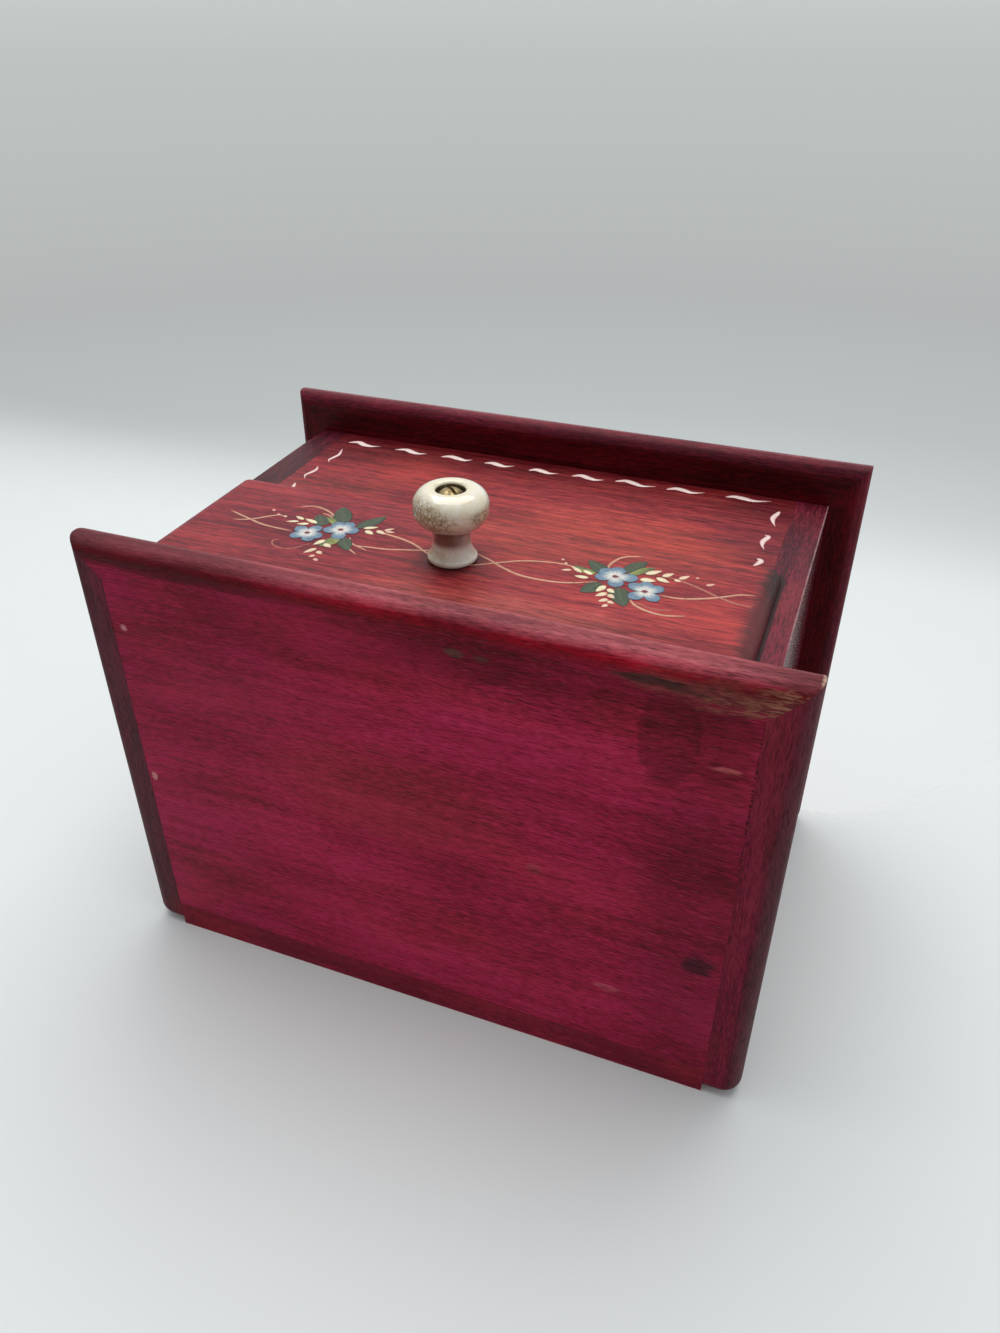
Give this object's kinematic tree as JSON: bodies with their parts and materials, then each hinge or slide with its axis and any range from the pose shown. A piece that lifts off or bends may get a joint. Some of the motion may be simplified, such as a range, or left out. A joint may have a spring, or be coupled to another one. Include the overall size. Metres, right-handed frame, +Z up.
{
  "type": "lidded box with a drawer",
  "caption": "Small stained wooden table box with moulded base and lid boards, a lidded upper compartment and a lipped drawer below with a white porcelain knob.",
  "frame": {"origin": "centre of the underside of the base board", "axes": "+Z up from the base to the lid, -Y towards the drawer front, +X to the right of a person facing the front"},
  "size_m": [0.227, 0.1801, 0.1513],
  "materials": {
    "base_panel": "dark crimson stain under aged varnish",
    "base_moulding_front": "dark crimson stain, worn on the round",
    "base_moulding_left": "dark crimson stain, worn on the round",
    "base_moulding_right": "dark crimson stain, worn on the round",
    "side_left": "dark crimson stain under aged varnish",
    "side_right": "dark crimson stain under aged varnish",
    "back_panel": "dark crimson stain under aged varnish",
    "front_panel": "red stain with pale brush strokes, satin varnish",
    "compartment_floor": "bare wood, oiled",
    "hinge_case_leaf_left": "aged brass",
    "hinge_case_leaf_right": "aged brass",
    "hinge_pin_left": "dull steel",
    "hinge_pin_right": "dull steel",
    "hinge_case_screws": "aged brass",
    "back_brads": "dull, slightly rusted steel",
    "lid_panel": "dark crimson stain under aged varnish",
    "lid_moulding_front": "dark crimson stain, worn on the round",
    "lid_moulding_left": "dark crimson stain, worn on the round",
    "lid_moulding_right": "dark crimson stain, worn on the round",
    "hinge_lid_leaf_left": "aged brass",
    "hinge_lid_leaf_right": "aged brass",
    "hinge_lid_screws": "aged brass",
    "drawer_front": "red stain with painted sprigs, satin varnish",
    "drawer_side_left": "bare wood, oiled",
    "drawer_side_right": "bare wood, oiled",
    "drawer_back": "bare wood, oiled",
    "drawer_bottom": "bare wood, oiled",
    "drawer_knob": "glossy off-white glaze with brown crazing",
    "knob_screw": "aged brass"
  },
  "bodies": {
    "case": {"base_panel": "base_panel", "base_moulding_front": "base_moulding_front", "base_moulding_left": "base_moulding_left", "base_moulding_right": "base_moulding_right", "side_left": "side_left", "side_right": "side_right", "back_panel": "back_panel", "front_panel": "front_panel", "compartment_floor": "compartment_floor", "hinge_case_leaf_left": "hinge_case_leaf_left", "hinge_case_leaf_right": "hinge_case_leaf_right", "hinge_pin_left": "hinge_pin_left", "hinge_pin_right": "hinge_pin_right", "hinge_case_screws": "hinge_case_screws", "back_brads": "back_brads"},
    "lid": {"lid_panel": "lid_panel", "lid_moulding_front": "lid_moulding_front", "lid_moulding_left": "lid_moulding_left", "lid_moulding_right": "lid_moulding_right", "hinge_lid_leaf_left": "hinge_lid_leaf_left", "hinge_lid_leaf_right": "hinge_lid_leaf_right", "hinge_lid_screws": "hinge_lid_screws"},
    "drawer": {"drawer_front": "drawer_front", "drawer_side_left": "drawer_side_left", "drawer_side_right": "drawer_side_right", "drawer_back": "drawer_back", "drawer_bottom": "drawer_bottom", "drawer_knob": "drawer_knob", "knob_screw": "knob_screw"}
  },
  "joints": [
    {"name": "lid_hinge", "type": "hinge", "parent": "case", "child": "lid", "pos_m": [0, 0.0805, 0.13915], "axis": [-1, 0, 0], "range_deg": [0, 95]},
    {"name": "drawer_slide", "type": "slide", "parent": "case", "child": "drawer", "axis": [0, -1, 0], "range_m": [0, 0.105]}
  ]
}
